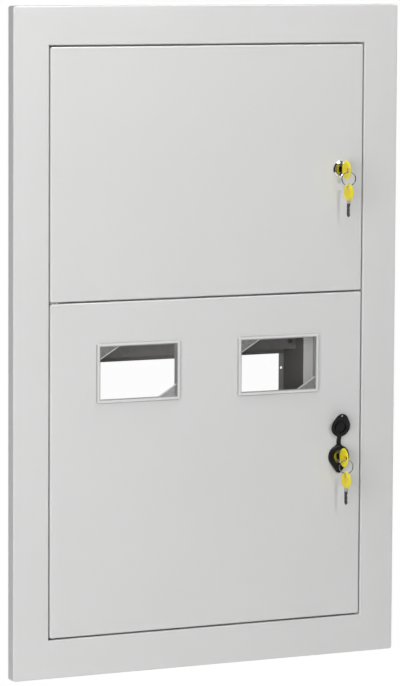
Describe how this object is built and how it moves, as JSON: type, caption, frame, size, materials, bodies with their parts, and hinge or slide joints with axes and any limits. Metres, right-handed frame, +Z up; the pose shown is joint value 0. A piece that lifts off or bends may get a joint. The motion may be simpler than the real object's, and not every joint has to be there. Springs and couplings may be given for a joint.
{
  "type": "floor distribution board",
  "caption": "Flush open-backed steel board with a flat frame, an upper and a lower folded door on pivots, meter windows, key locks, a flip lock cover, rails and terminal bars.",
  "frame": {"origin": "middle of the four wall fixing holes, on the back plane of the box", "axes": "+X to the right seen from the front, +Y into the wall, +Z up"},
  "size_m": [0.65, 0.1902, 1],
  "materials": {
    "paint": "light grey powder coat",
    "zinc": "zinc plated",
    "steel": "plain steel",
    "chrome": "polished",
    "brass": "satin",
    "yellow_plastic": "semi-gloss",
    "black_plastic": "satin black",
    "clear_plastic": "clear moulded plastic",
    "blue_plastic": "matte",
    "green_plastic": "matte"
  },
  "bodies": {
    "board": {"front_frame": "paint", "left_wall": "paint", "right_wall": "paint", "top_wall": "paint", "bottom_wall": "paint", "split_rail": "paint", "compartment_shelf": "paint", "breaker_cover": "paint", "upper_left_upright": "zinc", "upper_right_upright": "zinc", "lower_left_upright": "zinc", "lower_right_upright": "zinc", "meter_crossbar": "zinc", "meter_rail": "zinc", "lower_rail": "zinc", "upper_rail": "zinc", "middle_pivot_bracket": "zinc", "crossbar_screws": "steel", "rail_screws": "steel", "cover_screws": "steel", "bar_fixing_screws": "steel", "neutral_bar_screws": "steel", "earth_bar_screws": "steel", "earth_stud": "steel", "earth_stud_nut": "steel", "top_pivot_pin": "steel", "middle_pivot_pin": "steel", "bottom_pivot_pin": "steel", "neutral_bar": "brass", "earth_bar": "brass", "neutral_bar_supports": "blue_plastic", "earth_bar_supports": "green_plastic"},
    "upper_door": {"upper_door": "paint", "upper_lock_body": "chrome", "upper_lock_nut": "steel"},
    "upper_lock": {"upper_lock_plug": "chrome", "upper_lock_cam": "steel", "upper_cam_screw": "steel", "upper_key_blade": "steel", "upper_key_head": "yellow_plastic"},
    "upper_ring": {"upper_key_ring": "steel"},
    "upper_spare": {"upper_spare_blade": "steel", "upper_spare_head": "yellow_plastic"},
    "lower_door": {"lower_door": "paint", "left_window": "clear_plastic", "right_window": "clear_plastic", "lower_lock_body": "chrome", "lower_lock_nut": "steel", "lock_cover_base": "black_plastic"},
    "lower_lock": {"lower_lock_plug": "chrome", "lower_lock_cam": "steel", "lower_cam_screw": "steel", "lower_key_blade": "steel", "lower_key_head": "yellow_plastic"},
    "lower_ring": {"lower_key_ring": "steel"},
    "lower_spare": {"lower_spare_blade": "steel", "lower_spare_head": "yellow_plastic"},
    "lock_cover": {"lock_cover_cap": "black_plastic"}
  },
  "joints": [
    {"name": "upper_door_hinge", "type": "hinge", "parent": "board", "child": "upper_door", "pos_m": [-0.2565, -0.145, 0.25], "axis": [0, 0, -1], "range_deg": [0, 120]},
    {"name": "lower_door_hinge", "type": "hinge", "parent": "board", "child": "lower_door", "pos_m": [-0.2565, -0.145, -0.19], "axis": [0, 0, -1], "range_deg": [0, 120]},
    {"name": "upper_lock_turn", "type": "hinge", "parent": "upper_door", "child": "upper_lock", "pos_m": [0.226, -0.15, 0.249], "axis": [0, -1, 0], "range_deg": [0, 90]},
    {"name": "upper_ring_swing", "type": "hinge", "parent": "upper_lock", "child": "upper_ring", "pos_m": [0.226, -0.1757, 0.24617], "axis": [-0.9397, 0.342, 0], "range_deg": [-6, 50]},
    {"name": "upper_spare_swing", "type": "hinge", "parent": "upper_ring", "child": "upper_spare", "pos_m": [0.226, -0.1757, 0.22517], "axis": [-0.9397, 0.342, 0], "range_deg": [-6, 50]},
    {"name": "lower_lock_turn", "type": "hinge", "parent": "lower_door", "child": "lower_lock", "pos_m": [0.226, -0.15, -0.193], "axis": [0, -1, 0], "range_deg": [0, 90]},
    {"name": "lower_ring_swing", "type": "hinge", "parent": "lower_lock", "child": "lower_ring", "pos_m": [0.226, -0.1757, -0.19583], "axis": [-0.9397, 0.342, 0], "range_deg": [-6, 50]},
    {"name": "lower_spare_swing", "type": "hinge", "parent": "lower_ring", "child": "lower_spare", "pos_m": [0.226, -0.1757, -0.21683], "axis": [-0.9397, 0.342, 0], "range_deg": [-6, 50]},
    {"name": "lock_cover_flip", "type": "hinge", "parent": "lower_door", "child": "lock_cover", "pos_m": [0.226, -0.1515, -0.1697], "axis": [1, 0, 0], "range_deg": [-10, 73]}
  ]
}
